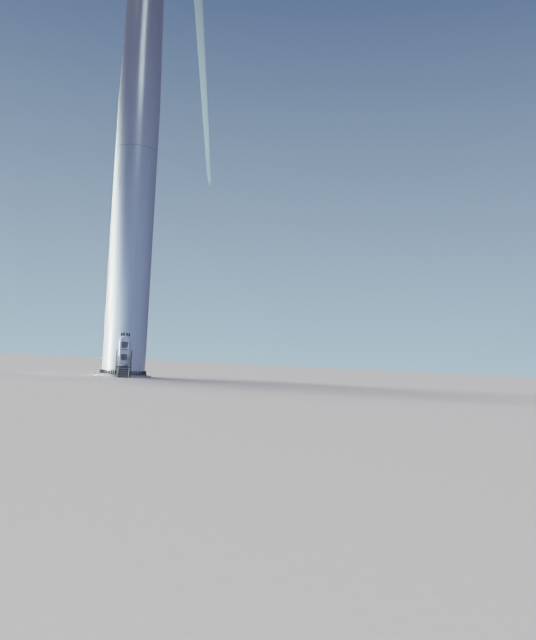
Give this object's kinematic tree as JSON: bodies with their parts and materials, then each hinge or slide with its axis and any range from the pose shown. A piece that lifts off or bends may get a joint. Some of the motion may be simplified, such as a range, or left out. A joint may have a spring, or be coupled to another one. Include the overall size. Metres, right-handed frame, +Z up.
{
  "type": "wind turbine, 1:10 scale model",
  "caption": "Horizontal-axis wind turbine with tubular steel tower, entry stair and door, yawing nacelle, turning hub and pitching blades, as a scale model.",
  "frame": {"origin": "centre of the plinth's underside, at ground level", "axes": "+Z up the tower; the entry door and stair face -Y; +X is to the right of someone facing the door"},
  "size_m": [9.1945, 3.8178, 11.2917],
  "materials": {
    "tower_paint": "semi-gloss light grey paint on rolled steel plate",
    "blade_paint": "gelcoat over glass fibre, light grey",
    "cover_paint": "gelcoat over glass fibre panels, light grey",
    "door_paint": "semi-gloss grey-white paint",
    "galvanised": "hot-dip galvanised steel",
    "dark_steel": "dark grey machine paint",
    "louvre": "dark grey louvre blades",
    "concrete": "cast concrete",
    "lamp": "red lamp cover"
  },
  "bodies": {
    "tower": {"foundation_plinth": "concrete", "base_flange": "tower_paint", "entry_wall_front": "tower_paint", "entry_wall_right": "tower_paint", "entry_wall_back": "tower_paint", "entry_wall_left": "tower_paint", "tower_bottom_section": "tower_paint", "tower_middle_section": "tower_paint", "tower_top_section": "tower_paint", "yaw_bearing_ring": "dark_steel", "door_frame": "tower_paint", "entry_floor": "galvanised", "vent_grille": "louvre", "door_hinge_lower": "dark_steel", "door_hinge_upper": "dark_steel", "stair_platform": "galvanised", "platform_frame": "galvanised", "stair_stringer_left": "galvanised", "stair_stringer_right": "galvanised", "stair_tread_1": "galvanised", "stair_tread_2": "galvanised", "stair_tread_3": "galvanised", "stair_tread_4": "galvanised", "stair_tread_5": "galvanised", "platform_guard_left": "galvanised", "platform_guard_right": "galvanised", "stair_handrail_left": "galvanised", "stair_handrail_right": "galvanised"},
    "door": {"door_leaf": "door_paint", "door_louvre_upper": "louvre", "door_louvre_lower": "louvre", "door_handle": "dark_steel"},
    "nacelle": {"yaw_turret": "dark_steel", "nacelle_lower_shell": "cover_paint", "nacelle_upper_shell": "cover_paint", "rear_louvre": "louvre", "roof_hatch": "cover_paint", "cooler_frame": "cover_paint", "cooler_core": "louvre", "wind_sensor_mast": "galvanised", "obstruction_light": "lamp", "roof_rail_left": "galvanised", "roof_rail_right": "galvanised", "main_bearing_housing": "dark_steel"},
    "rotor": {"hub_casting": "dark_steel", "pitch_bearing_1": "dark_steel", "pitch_bearing_2": "dark_steel", "pitch_bearing_3": "dark_steel", "spinner_shell": "cover_paint"},
    "blade_one": {"blade_1": "blade_paint"},
    "blade_two": {"blade_2": "blade_paint"},
    "blade_three": {"blade_3": "blade_paint"}
  },
  "joints": [
    {"name": "door_hinge", "type": "hinge", "parent": "tower", "child": "door", "pos_m": [0.0545, -0.229, 0.25], "axis": [0, 0, 1], "range_deg": [0, 90]},
    {"name": "nacelle_yaw", "type": "hinge", "parent": "tower", "child": "nacelle", "pos_m": [0, 0, 7.785], "axis": [0, 0, 1], "continuous": true},
    {"name": "rotor_spin", "type": "hinge", "parent": "nacelle", "child": "rotor", "pos_m": [0.16483, 0.40796, 8], "axis": [0.3732, 0.9237, 0.0872], "continuous": true},
    {"name": "blade_1_pitch", "type": "hinge", "parent": "rotor", "child": "blade_one", "pos_m": [0.16483, 0.40796, 8], "axis": [0.1295, 0.0881, -0.9877], "range_deg": [-17, 73]},
    {"name": "blade_2_pitch", "type": "hinge", "parent": "rotor", "child": "blade_two", "pos_m": [0.16483, 0.40796, 8], "axis": [-0.837, 0.3454, 0.4244], "range_deg": [-17, 73]},
    {"name": "blade_3_pitch", "type": "hinge", "parent": "rotor", "child": "blade_three", "pos_m": [0.16483, 0.40796, 8], "axis": [0.7564, -0.3126, 0.5747], "range_deg": [-17, 73]}
  ]
}
